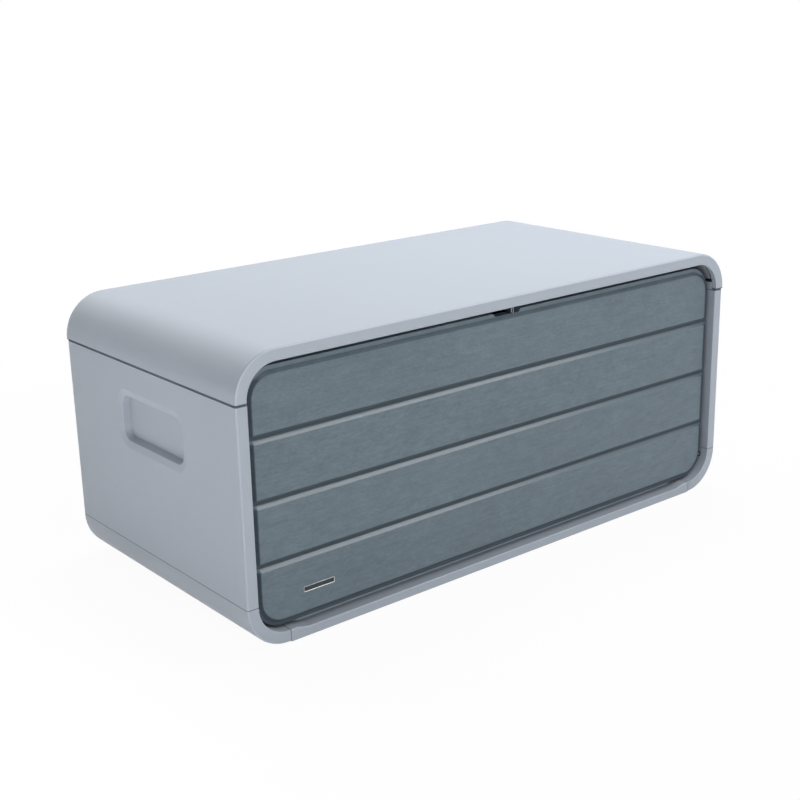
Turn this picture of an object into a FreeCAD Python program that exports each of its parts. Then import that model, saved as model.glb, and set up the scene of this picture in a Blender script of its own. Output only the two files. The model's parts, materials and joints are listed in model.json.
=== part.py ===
import FreeCAD, Part
# Outdoor storage box: a double-wall plastic chest with a lift-up lid and a drop-down front door.
#
# Sizes are in millimetres. The box stands on z = 0, its front faces -Y, and the origin is the
# centre of its footprint. The base, the two side panels and the lid together form one rounded
# ring around the chest, open at the front, where the door sits, and at the back, where the back
# panel stands.
import math
import os

os.makedirs("parts", exist_ok=True)
V = FreeCAD.Vector

# Overall size
overall_width = 1524.0
overall_depth = 736.0
overall_height = 652.0

# Ring of panels
lid_overhang = 2.0
ring_thickness = 28.0
skin = 3.0
lid_corner_radius = 101.0
base_corner_radius = 102.0
lid_side_height = 103.0
lid_seam_gap = 2.5
base_height = 104.0
base_seam_gap = 0.5
outer_edge_round = 5.0
inner_edge_round = 1.5
fit = 0.3

# Strips on top of the side panels, which the lid closes over
strip_thickness = 8.0
strip_height = 19.0
strip_bite = 10.0
strip_foot_thickness = 4.0
strip_front_margin = 12.5
strip_rear_margin = 77.0

# Tongue under each side panel
tongue_thickness = 8.0
tongue_depth = 14.0
tongue_inset = 10.0
tongue_end_margin = 66.0

# Handle recess in each side panel
handle_length = 262.0
handle_height = 108.0
handle_depth = 20.0
handle_corner_radius = 27.0
handle_draft = 6.0
handle_flare_width = 16.0
handle_flare_depth = 4.0
handle_centre_y = -10.0
handle_centre_drop = 132.5

# Front rail
rail_end_margin = 106.0
rail_joint_gap = 1.5
rail_depth = 38.0
rail_low_height = 21.0
rail_raised_length = 17.0
rail_ramp_length = 31.0
rail_ramp_round = 20.0
rail_front_round = 3.0
rail_tongue_height = 8.0
rail_tongue_level = 10.0
rail_tongue_length = 10.0
rail_anchor_depth = 20.0

# Back panel
back_recess = 14.0
back_thickness = 24.0
back_top_gap = 5.0
back_corner_radius = 70.0
back_groove_width = 8.0
back_groove_depth = 2.5

# Posts inside the corners
post_thickness = 12.0
front_post_width = 38.0
rear_post_width = 26.0
post_top_gap = 6.0
rear_post_foot_gap = 6.0

# Door
door_recess = 24.0
door_gap = 8.0
door_top_gap = 14.0
door_bottom_gap = 6.0
door_depth = 22.0
door_back_gap = 0.5
plank_rise = 8.0
plank_count = 4
plank_margin = 9.0
plank_bottom_margin = 7.0
plank_side_bevel = 6.0
plank_top_bevel = 8.0
plank_bottom_bevel = 9.5
groove_width = 4.6

# Door pivots
pivot_drop = 20.0
pivot_setback = 4.0
pivot_pin_radius = 4.0
pivot_pin_length = 52.0
pivot_pin_cover = 12.0
pivot_boss = 10.0
bush_wall = 3.0
bush_floor = 3.0
running_clearance = 0.05

# Lock notch and its two tabs
notch_half_width = 43.0
notch_depth = 8.0
notch_corner_radius = 10.0
lock_tab_thickness = 2.0
lid_tab_x = 10.3
door_tab_x = 17.0
lock_hole_radius = 4.5
lock_hole_drop = 10.0
lock_hole_setback = 31.0
lid_tab_width = 18.0
lid_tab_reach = 18.0
lid_tab_foot_length = 30.0
door_tab_reach = 19.0
door_tab_front = 8.0
door_tab_foot_width = 30.0
door_tab_foot_height = 24.0

# Badge plate on the lowest plank, left blank
badge_width = 82.0
badge_height = 13.0
badge_thickness = 1.5
badge_corner_radius = 3.0
badge_side_margin = 160.0
badge_bottom_margin = 67.0

# Lid
lid_rim_depth = 14.0
liner_gap = 4.0
liner_side_height = 49.0
stiffener_end_gap = 94.0
stiffener_wall = 2.0
front_stiffener_width = 34.0
rear_stiffener_width = 40.0
front_stiffener_inset = 22.0

# Lid rest pads
pad_width = 9.0
pad_length = 8.0
pad_inset_x = 5.0
pad_inset_y = 5.0

# Lid hinges
hinge_spread = 0.59
hinge_leaf_width = 80.0
hinge_leaf_thickness = 2.5
hinge_knuckle_radius = 6.0
hinge_pin_radius = 3.0
hinge_pin_head_radius = 4.5
hinge_pin_head_height = 2.0
hinge_outer_knuckle = 20.0
hinge_knuckle_gap = 0.3
hinge_top_clearance = 0.5
hinge_setback = 8.0
fixed_leaf_length = 58.0
moving_leaf_length = 54.0

# Screws
screw_radius = 2.0
screw_head_radius = 4.5
screw_head_height = 2.4
screw_head_round = 1.2
screw_clearance = 0.05
screw_boss_radius = 7.0
counterbore_radius = 5.5
leaf_screw_length = 14.0
liner_screw_length = 10.0
door_screw_length = 14.0
side_screw_length = 17.0
rail_screw_length = 16.0
rail_screw_sink = 4.0
back_screw_length = 34.0
post_screw_grip = 18.0
post_screw_bite = 4.0
leaf_screw_edge = 14.0
fixed_leaf_screw_low = 10.0
fixed_leaf_screw_high = 32.0
moving_leaf_screw_row = 12.0
side_screw_count = 3
side_screw_margin = 146.0
rail_screw_count = 4
rail_screw_margin = 144.0
back_screw_count = 3
post_screw_count = 4
post_screw_margin = 45.0
liner_screw_count = 6
liner_screw_margin = 40.0
door_screw_columns = 5
door_screw_rows = 3
door_screw_side_margin = 86.0
door_screw_end_margin = 75.0
tab_screw_near = 5.0
tab_screw_far = 14.0
door_tab_screw_near = 8.0
door_tab_screw_far = 22.0

# Lines that follow from the sizes above
lid_half_width = overall_width / 2
lid_half_depth = overall_depth / 2
body_half_width = lid_half_width - lid_overhang
body_half_depth = lid_half_depth - lid_overhang
lid_bottom = overall_height - lid_side_height
lid_ceiling = overall_height - ring_thickness
lid_inner_half = lid_half_width - ring_thickness
lid_inner_radius = lid_corner_radius - ring_thickness
panel_top = lid_bottom - lid_seam_gap
panel_bottom = base_height + base_seam_gap
body_inner_half = body_half_width - ring_thickness
base_inner_radius = base_corner_radius - ring_thickness
ring_end_wall = outer_edge_round + skin
floor_level = ring_thickness
base_arc_centre_x = body_half_width - base_corner_radius
handle_centre_z = panel_top - handle_centre_drop

door_face = -body_half_depth + door_recess
door_back = door_face + door_depth
door_half_width = lid_inner_half - door_gap
door_top = lid_ceiling - door_top_gap
door_bottom = floor_level + door_bottom_gap
door_top_radius = lid_inner_radius - door_gap
door_bottom_radius = base_inner_radius - (body_inner_half - door_half_width)
door_panel_joint = door_back - skin
plank_face = door_face - plank_rise
planks_low = door_bottom + plank_bottom_margin
planks_high = door_top - plank_margin
plank_pitch = (planks_high - planks_low + groove_width) / plank_count
groove_heights = [planks_low + step * plank_pitch - groove_width / 2 for step in range(1, plank_count)]

pivot_y = door_face + pivot_setback
pivot_height = base_height - pivot_drop
pivot_pin_end = body_half_width - pivot_pin_cover
open_door_top = pivot_height + (door_back - pivot_y)

front_post_face = door_back + door_back_gap
front_post_foot = open_door_top + fit
post_top = panel_top - post_top_gap

back_outer = body_half_depth - back_recess
back_inner = back_outer - back_thickness
back_top = lid_ceiling - back_top_gap
back_half_width = body_inner_half - fit
back_bottom = floor_level + fit
back_bottom_radius = base_inner_radius - fit

hinge_spacing = hinge_spread * lid_half_width
hinge_places = {"left": -hinge_spacing, "centre": 0.0, "right": hinge_spacing}
hinge_axis_y = lid_half_depth - hinge_setback
hinge_axis_z = lid_ceiling - hinge_top_clearance - hinge_knuckle_radius

rail_back = -body_half_depth + rail_depth
rail_half_length = body_half_width - rail_end_margin

strip_front = -body_half_depth + strip_front_margin
strip_rear = body_half_depth - strip_rear_margin
tongue_half_length = body_half_depth - tongue_end_margin

stiffener_half_length = lid_inner_half - stiffener_end_gap
front_stiffener_start = -lid_half_depth + front_stiffener_inset
moving_leaf_end = back_outer - moving_leaf_length
rear_stiffener_centre = moving_leaf_end + moving_leaf_screw_row

lock_hole_y = -lid_half_depth + lock_hole_setback
lock_hole_z = lid_ceiling - lock_hole_drop
notch_floor = door_top - notch_depth

EPS = 0.01
FAR = 2000.0


def box(x0, x1, y0, y1, z0, z1):
    """Block between two corners."""
    return Part.makeBox(x1 - x0, y1 - y0, z1 - z0, V(x0, y0, z0))


def rod(start, direction, length, radius):
    """Round bar from a point along a direction."""
    return Part.makeCylinder(radius, length, start, direction)


def spread(low, high, count, margin):
    """Evenly spaced places from low to high, the outer ones a margin inside."""
    first = low + margin
    step = (high - low - 2 * margin) / (count - 1)
    return [first + step * index for index in range(count)]


def mirrored(shape):
    """The same piece on the other side of the box."""
    return shape.mirror(V(0, 0, 0), V(1, 0, 0))


def corner_arc(centre_x, centre_z, radius, start_deg, y):
    """Quarter circle in an XZ plane, from start_deg over the next 90 degrees."""
    def at(deg):
        angle = math.radians(deg)
        return V(centre_x + radius * math.cos(angle), y, centre_z + radius * math.sin(angle))
    return Part.Arc(at(start_deg), at(start_deg + 45), at(start_deg + 90)).toShape()


def rounded_outline(x0, x1, z0, z1, radius_low, radius_high, y):
    """Closed wire in an XZ plane: a rectangle with rounded lower and upper corners."""
    arcs = [
        corner_arc(x1 - radius_high, z1 - radius_high, radius_high, 0, y),
        corner_arc(x0 + radius_high, z1 - radius_high, radius_high, 90, y),
        corner_arc(x0 + radius_low, z0 + radius_low, radius_low, 180, y),
        corner_arc(x1 - radius_low, z0 + radius_low, radius_low, 270, y),
    ]
    edges = []
    for index, arc in enumerate(arcs):
        following = arcs[(index + 1) % 4]
        edges.append(arc)
        edges.append(Part.LineSegment(arc.Vertexes[1].Point, following.Vertexes[0].Point).toShape())
    return Part.Wire(edges)


def rounded_prism(x0, x1, z0, z1, radius_low, radius_high, y0, y1):
    """Rounded rectangle carried from y0 to y1."""
    face = Part.Face(rounded_outline(x0, x1, z0, z1, radius_low, radius_high, y0))
    return face.extrude(V(0, y1 - y0, 0))


def rounded_frustum(low, high):
    """Solid between two rounded outlines that lie in parallel XZ planes."""
    return Part.makeLoft([rounded_outline(*low), rounded_outline(*high)], True, True)


def edges_in_plane(shape, y):
    """The edges of a shape that lie in one XZ plane."""
    return [e for e in shape.Edges if abs(e.BoundBox.YMin - y) < EPS and abs(e.BoundBox.YMax - y) < EPS]


def rounded_ring(half_width, top, radius_top, half_depth):
    """Full ring of panels, hollow through its depth, with softened front and back edges."""
    outer = rounded_prism(-half_width, half_width, 0, top, base_corner_radius, radius_top,
                          -half_depth, half_depth)
    ends = edges_in_plane(outer, -half_depth) + edges_in_plane(outer, half_depth)
    outer = outer.makeFillet(outer_edge_round, ends)
    inner_half = half_width - ring_thickness
    inner = rounded_prism(-inner_half, inner_half, floor_level, top - ring_thickness, base_inner_radius,
                          radius_top - ring_thickness, -half_depth - 1, half_depth + 1)
    ring = outer.cut(inner)
    rims = []
    for y in (-half_depth, half_depth):
        for edge in edges_in_plane(ring, y):
            bounds = edge.BoundBox
            inside = max(abs(bounds.XMin), abs(bounds.XMax)) < inner_half + EPS
            if inside and bounds.ZMin > floor_level - EPS and bounds.ZMax < top - ring_thickness + EPS:
                rims.append(edge)
    return ring.makeFillet(inner_edge_round, rims)


def body_ring():
    """The ring that the base and the side panels are parts of."""
    return rounded_ring(body_half_width, overall_height, lid_corner_radius, body_half_depth)


def screw(seat, direction, length):
    """Pan-head screw: its head stands on the seat and its shank runs along the direction."""
    shank = rod(seat, direction, length, screw_radius)
    head = rod(seat, direction * -1, screw_head_height, screw_head_radius)
    crown = max(head.Edges, key=lambda e: (e.CenterOfMass - seat).dot(direction * -1))
    head = head.makeFillet(screw_head_round, [crown])
    return head.fuse(shank)


def screw_hole(seat, direction, length):
    """Hole that a screw's shank passes through, a little past both ends."""
    return rod(seat - direction, direction, length + 1, screw_radius + screw_clearance)


def base_wall_x(level):
    """X of the base's right-hand inner wall at a height inside its rounded corner."""
    return base_arc_centre_x + math.sqrt(base_inner_radius ** 2 - (base_corner_radius - level) ** 2)


def side_screw_seats():
    """Where the screws of the right-hand side panel sit, on the base's inner wall."""
    level = base_height - tongue_depth / 2
    places = spread(-body_half_depth, body_half_depth, side_screw_count, side_screw_margin)
    return [V(base_wall_x(level), y, level) for y in places]


def rail_screw_seats():
    """Where the rail's screws sit, sunk into the base's underside."""
    y = rail_back + fit + rail_tongue_length / 2
    places = spread(-rail_half_length, rail_half_length, rail_screw_count, rail_screw_margin)
    return [V(x, y, rail_screw_sink) for x in places]


def bush_rod(extra=0.0):
    """The right-hand pivot bush as a solid rod, or with an extra size the room that it takes."""
    start = base_wall_x(pivot_height) + 1
    length = pivot_pin_end + bush_floor + extra - start
    radius = pivot_pin_radius + bush_wall + extra
    return rod(V(start, pivot_y, pivot_height), V(1, 0, 0), length, radius)


def base_pan():
    """Floor and the two upturned corners, moulded in one hollow piece."""
    base = body_ring().common(box(-FAR, FAR, -FAR, FAR, 0, base_height))
    rail_gap = rail_half_length + rail_joint_gap
    front_wall = rail_back + fit
    base = base.cut(box(-rail_gap, rail_gap, -FAR, front_wall, -1, base_height))

    hollow = rounded_prism(-body_half_width + skin, body_half_width - skin, skin, overall_height,
                           base_corner_radius - skin, lid_corner_radius,
                           -body_half_depth + ring_end_wall, body_half_depth - ring_end_wall)
    core = rounded_prism(-body_inner_half - skin, body_inner_half + skin, floor_level - skin,
                         overall_height, base_inner_radius + skin, lid_inner_radius, -FAR, FAR)
    hollow = hollow.cut(core).common(box(-FAR, FAR, -FAR, FAR, 0, base_height - skin))
    hollow = hollow.cut(box(-rail_gap - skin, rail_gap + skin, -FAR, front_wall + rail_anchor_depth,
                            0, base_height))
    slot = side_tongue(fit)
    slot_walls = box(body_inner_half, slot.BoundBox.XMax + skin, slot.BoundBox.YMin - skin,
                     slot.BoundBox.YMax + skin, slot.BoundBox.ZMin - skin, base_height)
    bush = bush_rod()
    bush_walls = bush_rod(skin)
    for kept in (slot_walls, bush_walls):
        hollow = hollow.cut(kept).cut(mirrored(kept))
    base = base.cut(hollow)

    bush_way = rod(V(base_arc_centre_x, pivot_y, pivot_height), V(1, 0, 0),
                   pivot_pin_end - base_arc_centre_x, pivot_pin_radius + bush_wall)
    for opening in (slot, bush, bush_way):
        base = base.cut(opening).cut(mirrored(opening))
    for seat in side_screw_seats():
        hole = screw_hole(seat, V(1, 0, 0), side_screw_length)
        spot_face = rod(seat, V(-1, 0, 0), 2 * counterbore_radius, counterbore_radius)
        hole = hole.fuse(spot_face)
        base = base.cut(hole).cut(mirrored(hole))

    groove_low = rail_tongue_level - fit
    groove_high = rail_tongue_level + rail_tongue_height + fit
    base = base.cut(box(-rail_gap, rail_gap, front_wall - 1, rail_back + rail_tongue_length + 2 * fit,
                        groove_low, groove_high))
    for seat in rail_screw_seats():
        base = base.cut(screw_hole(seat, V(0, 0, 1), rail_screw_length))
        base = base.cut(rod(V(seat.x, seat.y, -1), V(0, 0, 1), rail_screw_sink + 1, counterbore_radius))
    return base


def front_rail():
    """Sill across the front, lower in the middle and raised to the base at its ends."""
    ramp_top = rail_half_length - rail_raised_length
    ramp_foot = ramp_top - rail_ramp_length
    points = [(-rail_half_length, 0), (rail_half_length, 0), (rail_half_length, floor_level),
              (ramp_top, floor_level), (ramp_foot, rail_low_height), (-ramp_foot, rail_low_height),
              (-ramp_top, floor_level), (-rail_half_length, floor_level)]
    corners = [V(x, -body_half_depth, z) for x, z in points]
    face = Part.Face(Part.makePolygon(corners + corners[:1]))
    rail = face.extrude(V(0, rail_depth, 0))
    bends = []
    for edge in rail.Edges:
        bounds = edge.BoundBox
        if bounds.YLength > rail_depth - EPS and abs(bounds.XMin) < rail_half_length - EPS:
            bends.append(edge)
    rail = rail.makeFillet(rail_ramp_round, bends)
    crest = [e for e in edges_in_plane(rail, -body_half_depth)
             if e.BoundBox.ZMin > rail_low_height - 1]
    rail = rail.makeFillet(rail_front_round, crest)
    tongue = box(-rail_half_length + fit, rail_half_length - fit, rail_back - 1,
                 rail_back + rail_tongue_length, rail_tongue_level, rail_tongue_level + rail_tongue_height)
    rail = rail.fuse(tongue)
    for seat in rail_screw_seats():
        rail = rail.cut(screw_hole(seat, V(0, 0, 1), rail_screw_length))
    return rail.removeSplitter()


def side_tongue(clearance=0.0):
    """Tongue under the right-hand side panel, or with a clearance the slot that takes it."""
    x0 = body_inner_half + tongue_inset
    half = tongue_half_length
    return box(x0 - clearance, x0 + tongue_thickness + clearance, -half - clearance, half + clearance,
               base_height - tongue_depth - clearance, panel_bottom + clearance)


def strip_foot(clearance=0.0):
    """Foot of the strip on the right-hand side panel, or with a clearance the slot that takes it."""
    x1 = body_inner_half + strip_thickness
    return box(x1 - strip_foot_thickness - clearance, x1 + clearance, strip_front - clearance,
               strip_rear + clearance, panel_top - strip_bite, panel_top)


def top_strip():
    """Strip on the right-hand side panel, flush with its inner face, which the lid closes over."""
    ridge = box(body_inner_half, body_inner_half + strip_thickness, strip_front, strip_rear,
                panel_top, panel_top + strip_height)
    return ridge.fuse(strip_foot()).removeSplitter()


def handle_pocket(grow):
    """Room taken by the handle recess, made larger all round by grow; drawn about the YZ plane."""
    half_length = handle_length / 2 + grow
    half_height = handle_height / 2 + grow
    radius = handle_corner_radius + grow
    flare = handle_flare_width
    draft = handle_draft
    mouth = (-half_length - flare, half_length + flare, -half_height - flare, half_height + flare,
             radius + flare, radius + flare, 0)
    throat_depth = handle_flare_depth
    throat = (-half_length, half_length, -half_height, half_height, radius, radius, throat_depth)
    back = (-half_length + draft, half_length - draft, -half_height + draft, half_height - draft,
            radius - draft, radius - draft, handle_depth + grow)
    pocket = rounded_frustum(mouth, throat).fuse(rounded_frustum(throat, back))
    pocket.rotate(V(0, 0, 0), V(0, 0, 1), 90)
    pocket.translate(V(body_half_width, handle_centre_y, handle_centre_z))
    return pocket


def side_panel():
    """Right-hand side panel, with its handle recess, the strip's slot above and a tongue below."""
    panel = body_ring().common(box(0, FAR, -FAR, FAR, panel_bottom, panel_top)).fuse(side_tongue())
    hollow = box(body_inner_half + skin, body_half_width - skin, -body_half_depth + ring_end_wall,
                 body_half_depth - ring_end_wall, panel_bottom + skin,
                 panel_top - strip_bite - skin)
    panel = panel.cut(hollow.cut(handle_pocket(skin)))
    panel = panel.cut(handle_pocket(0)).cut(strip_foot(fit))
    for seat in side_screw_seats():
        panel = panel.cut(screw_hole(seat, V(1, 0, 0), side_screw_length))
    for seat in post_screw_seats():
        panel = panel.cut(screw_hole(seat, V(1, 0, 0), post_screw_grip + post_screw_bite))
    return panel.removeSplitter()


def hinge_screw_seats_fixed(x):
    """Screw seats on the leaf that is fixed to the back panel."""
    y = back_outer + hinge_leaf_thickness
    low = hinge_axis_z - fixed_leaf_length
    offset = hinge_leaf_width / 2 - leaf_screw_edge
    rows = (low + fixed_leaf_screw_low, low + fixed_leaf_screw_high)
    return [V(x + dx, y, z) for dx in (-offset, offset) for z in rows]


def hinge_screw_seats_moving(x):
    """Screw seats on the leaf that is fixed under the lid."""
    z = lid_ceiling - hinge_leaf_thickness
    offset = hinge_leaf_width / 2 - leaf_screw_edge
    return [V(x + dx, moving_leaf_end + moving_leaf_screw_row, z) for dx in (-offset, 0, offset)]


def back_screw_seats():
    """Where the back panel is screwed to the right-hand rear post."""
    x = body_inner_half - rear_post_width / 2
    return [V(x, back_outer, z) for z in spread(panel_bottom, post_top, back_screw_count, post_screw_margin)]


def back_panel():
    """Back wall between the side panels, set in from the rear of the ring."""
    panel = rounded_prism(-back_half_width, back_half_width, back_bottom, back_top, back_bottom_radius,
                          back_corner_radius, back_inner, back_outer)
    hollow = rounded_prism(-back_half_width + skin, back_half_width - skin, back_bottom + skin,
                           back_top - skin, back_bottom_radius - skin, back_corner_radius - skin,
                           back_inner + skin, back_outer - skin)
    for level in groove_heights:
        half = back_groove_width / 2
        outline = [V(-FAR, back_outer + EPS, level - half), V(-FAR, back_outer + EPS, level + half),
                   V(-FAR, back_outer - back_groove_depth, level)]
        groove = Part.Face(Part.makePolygon(outline + outline[:1])).extrude(V(2 * FAR, 0, 0))
        panel = panel.cut(groove)
        hollow = hollow.cut(box(-FAR, FAR, back_outer - back_groove_depth - skin, back_outer,
                                level - half - skin, level + half + skin))
    bosses = []
    for seat in back_screw_seats():
        boss = rod(V(seat.x, back_inner, seat.z), V(0, 1, 0), back_thickness, screw_boss_radius)
        bosses += [boss, mirrored(boss)]
    panel = panel.cut(hollow.cut(bosses))
    holes = []
    for x in hinge_places.values():
        holes += [screw_hole(seat, V(0, -1, 0), leaf_screw_length) for seat in hinge_screw_seats_fixed(x)]
    for seat in back_screw_seats():
        hole = screw_hole(seat, V(0, -1, 0), back_screw_length)
        holes += [hole, mirrored(hole)]
    return panel.cut(holes)


def post_screw_seats():
    """Screw seats sunk into the right-hand posts, front post first."""
    x = body_inner_half - post_screw_grip
    front_y = front_post_face + post_thickness / 2
    rear_y = back_inner - post_thickness / 2
    levels = spread(panel_bottom, post_top, post_screw_count, 2 * post_screw_margin)
    return [V(x, y, z) for y in (front_y, rear_y) for z in levels]


def post(width, y0, foot):
    """Upright inside a corner, screwed to the side panel."""
    upright = box(body_inner_half - width, body_inner_half, y0, y0 + post_thickness, foot, post_top)
    for seat in post_screw_seats():
        upright = upright.cut(screw_hole(seat, V(1, 0, 0), post_screw_grip + 1))
        upright = upright.cut(rod(seat, V(-1, 0, 0), width, counterbore_radius))
    return upright


def front_post():
    """Right-hand post that the closed door rests against; its foot stops the open door."""
    return post(front_post_width, front_post_face, front_post_foot)


def rear_post():
    """Right-hand post that the back panel is screwed to."""
    foot = base_corner_radius + rear_post_foot_gap
    upright = post(rear_post_width, back_inner - post_thickness, foot)
    for seat in back_screw_seats():
        upright = upright.cut(screw_hole(seat, V(0, -1, 0), back_screw_length))
    return upright


def pivot_bush():
    """Right-hand bush that the door's pivot pin turns in."""
    inner = base_wall_x(pivot_height)
    bore = rod(V(inner, pivot_y, pivot_height), V(1, 0, 0), pivot_pin_end + fit - inner,
               pivot_pin_radius + running_clearance)
    return bush_rod().cut(bore)


def lid_outer_shell():
    """Waterfall skin of the lid, with a full-width rim at the front and at the back."""
    lid = rounded_ring(lid_half_width, overall_height, lid_corner_radius, lid_half_depth)
    lid = lid.common(box(-FAR, FAR, -FAR, FAR, lid_bottom, overall_height + 1))
    rim_inner = lid_half_depth - lid_rim_depth
    room = rounded_prism(-lid_half_width + skin, lid_half_width - skin, 0, overall_height - skin,
                         base_corner_radius, lid_corner_radius - skin, -rim_inner, rim_inner)
    return lid.cut(room)


def lid_inner_liner():
    """Inner skin of the lid, between the two rims."""
    reach = lid_half_depth - lid_rim_depth - liner_gap
    outer = rounded_prism(-lid_inner_half - skin, lid_inner_half + skin, 0, lid_ceiling + skin,
                          base_inner_radius, lid_inner_radius + skin, -reach, reach)
    inner = rounded_prism(-lid_inner_half, lid_inner_half, -1, lid_ceiling, base_inner_radius,
                          lid_inner_radius, -reach - 1, reach + 1)
    liner = outer.cut(inner)
    liner = liner.common(box(-FAR, FAR, -FAR, FAR, lid_ceiling - liner_side_height, FAR))
    holes = [screw_hole(seat, V(0, 0, 1), liner_screw_length) for seat in liner_screw_seats()]
    for x in hinge_places.values():
        holes += [screw_hole(seat, V(0, 0, 1), leaf_screw_length) for seat in hinge_screw_seats_moving(x)]
    holes += [screw_hole(seat, V(0, 0, 1), leaf_screw_length) for seat in lid_tab_screw_seats()]
    return liner.cut(holes)


def liner_screw_seats():
    """Screws that hold the liner to the front stiffener."""
    y = front_stiffener_start + front_stiffener_width / 2
    places = spread(-stiffener_half_length, stiffener_half_length, liner_screw_count, liner_screw_margin)
    return [V(x, y, lid_ceiling) for x in places]


def lid_tab_screw_seats():
    """Screws that hold the lid's lock tab."""
    end = lid_tab_x + lid_tab_foot_length
    y = front_stiffener_start + front_stiffener_width / 3
    z = lid_ceiling - lock_tab_thickness
    return [V(end - step, y, z) for step in (tab_screw_near, tab_screw_far)]


def stiffener(y0, width):
    """Rectangular steel tube across the lid, between the liner and the outer skin."""
    z0 = lid_ceiling + skin
    z1 = overall_height - skin
    half = stiffener_half_length
    tube = box(-half, half, y0, y0 + width, z0, z1)
    wall = stiffener_wall
    return tube.cut(box(-half - 1, half + 1, y0 + wall, y0 + width - wall, z0 + wall, z1 - wall))


def front_stiffener():
    """Front tube, with holes for the liner's and the lock tab's screws."""
    tube = stiffener(front_stiffener_start, front_stiffener_width)
    holes = [screw_hole(seat, V(0, 0, 1), liner_screw_length) for seat in liner_screw_seats()]
    holes += [screw_hole(seat, V(0, 0, 1), leaf_screw_length) for seat in lid_tab_screw_seats()]
    return tube.cut(holes)


def rear_stiffener():
    """Rear tube, which the hinges are screwed to."""
    tube = stiffener(rear_stiffener_centre - rear_stiffener_width / 2, rear_stiffener_width)
    holes = []
    for x in hinge_places.values():
        holes += [screw_hole(seat, V(0, 0, 1), leaf_screw_length) for seat in hinge_screw_seats_moving(x)]
    return tube.cut(holes)


def knuckle(x0, x1):
    """One knuckle of a hinge, bored for the pin."""
    start = V(x0, hinge_axis_y, hinge_axis_z)
    return rod(start, V(1, 0, 0), x1 - x0, hinge_knuckle_radius)


def pin_bore(x):
    """Bore through all three knuckles of the hinge at x."""
    start = V(x - hinge_leaf_width, hinge_axis_y, hinge_axis_z)
    return rod(start, V(1, 0, 0), 2 * hinge_leaf_width, hinge_pin_radius + running_clearance)


def fixed_leaf(x):
    """Hinge leaf on the back panel, with the two outer knuckles."""
    half = hinge_leaf_width / 2
    plate = box(x - half, x + half, back_outer, back_outer + hinge_leaf_thickness,
                hinge_axis_z - fixed_leaf_length, hinge_axis_z - hinge_knuckle_radius - fit)
    leaf = plate
    for x0 in (x - half, x + half - hinge_outer_knuckle):
        outline = [V(x0, back_outer, hinge_axis_z), V(x0, hinge_axis_y, hinge_axis_z),
                   V(x0, hinge_axis_y, hinge_axis_z - hinge_knuckle_radius),
                   V(x0, back_outer + hinge_leaf_thickness, hinge_axis_z - 2.5 * hinge_knuckle_radius),
                   V(x0, back_outer, hinge_axis_z - 2.5 * hinge_knuckle_radius)]
        web = Part.Face(Part.makePolygon(outline + outline[:1])).extrude(V(hinge_outer_knuckle, 0, 0))
        leaf = leaf.fuse(knuckle(x0, x0 + hinge_outer_knuckle)).fuse(web)
    leaf = leaf.cut(pin_bore(x))
    holes = [screw_hole(seat, V(0, -1, 0), leaf_screw_length) for seat in hinge_screw_seats_fixed(x)]
    return leaf.cut(holes).removeSplitter()


def moving_leaf(x):
    """Hinge leaf under the lid, with the middle knuckle."""
    half = hinge_leaf_width / 2
    top = lid_ceiling
    plate = box(x - half, x + half, moving_leaf_end, back_outer, top - hinge_leaf_thickness, top)
    inner = half - hinge_outer_knuckle - hinge_knuckle_gap
    neck_top = hinge_axis_z + hinge_knuckle_radius
    outline = [V(x - inner, back_outer - 1, top), V(x - inner, back_outer - 1, top - hinge_leaf_thickness),
               V(x - inner, hinge_axis_y - hinge_knuckle_radius, hinge_axis_z + 1),
               V(x - inner, hinge_axis_y, hinge_axis_z + 1), V(x - inner, hinge_axis_y, neck_top)]
    neck = Part.Face(Part.makePolygon(outline + outline[:1])).extrude(V(2 * inner, 0, 0))
    leaf = plate.fuse(neck).fuse(knuckle(x - inner, x + inner)).cut(pin_bore(x))
    holes = [screw_hole(seat, V(0, 0, 1), leaf_screw_length) for seat in hinge_screw_seats_moving(x)]
    return leaf.cut(holes).removeSplitter()


def hinge_pin(x):
    """Pin through the knuckles, headed at both ends."""
    half = hinge_leaf_width / 2
    pin = rod(V(x - half, hinge_axis_y, hinge_axis_z), V(1, 0, 0), hinge_leaf_width, hinge_pin_radius)
    for end, way in ((x - half, -1), (x + half, 1)):
        head = rod(V(end, hinge_axis_y, hinge_axis_z), V(way, 0, 0), hinge_pin_head_height,
                   hinge_pin_head_radius)
        pin = pin.fuse(head)
    return pin


def lock_hole(x0):
    """Padlock hole through a tab whose near face is at x0."""
    return rod(V(x0 - 1, lock_hole_y, lock_hole_z), V(1, 0, 0), lock_tab_thickness + 2, lock_hole_radius)


def lid_lock_tab():
    """Steel tab that hangs from the lid into the notch, with a hole for a padlock."""
    x0 = lid_tab_x - lock_tab_thickness / 2
    y0 = lock_hole_y - lid_tab_width / 2
    foot = box(x0, lid_tab_x + lid_tab_foot_length, y0, y0 + lid_tab_width,
               lid_ceiling - lock_tab_thickness, lid_ceiling)
    blade = box(x0, x0 + lock_tab_thickness, y0, y0 + lid_tab_width, lid_ceiling - lid_tab_reach, lid_ceiling)
    tab = foot.fuse(blade)
    tab = tab.cut(lock_hole(x0))
    return tab.cut([screw_hole(seat, V(0, 0, 1), leaf_screw_length) for seat in lid_tab_screw_seats()])


def door_tab_screw_seats():
    """Screws that hold the door's lock tab."""
    z = notch_floor - door_tab_foot_height / 2
    y = door_back + lock_tab_thickness
    return [V(door_tab_x + step, y, z) for step in (door_tab_screw_near, door_tab_screw_far)]


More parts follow.
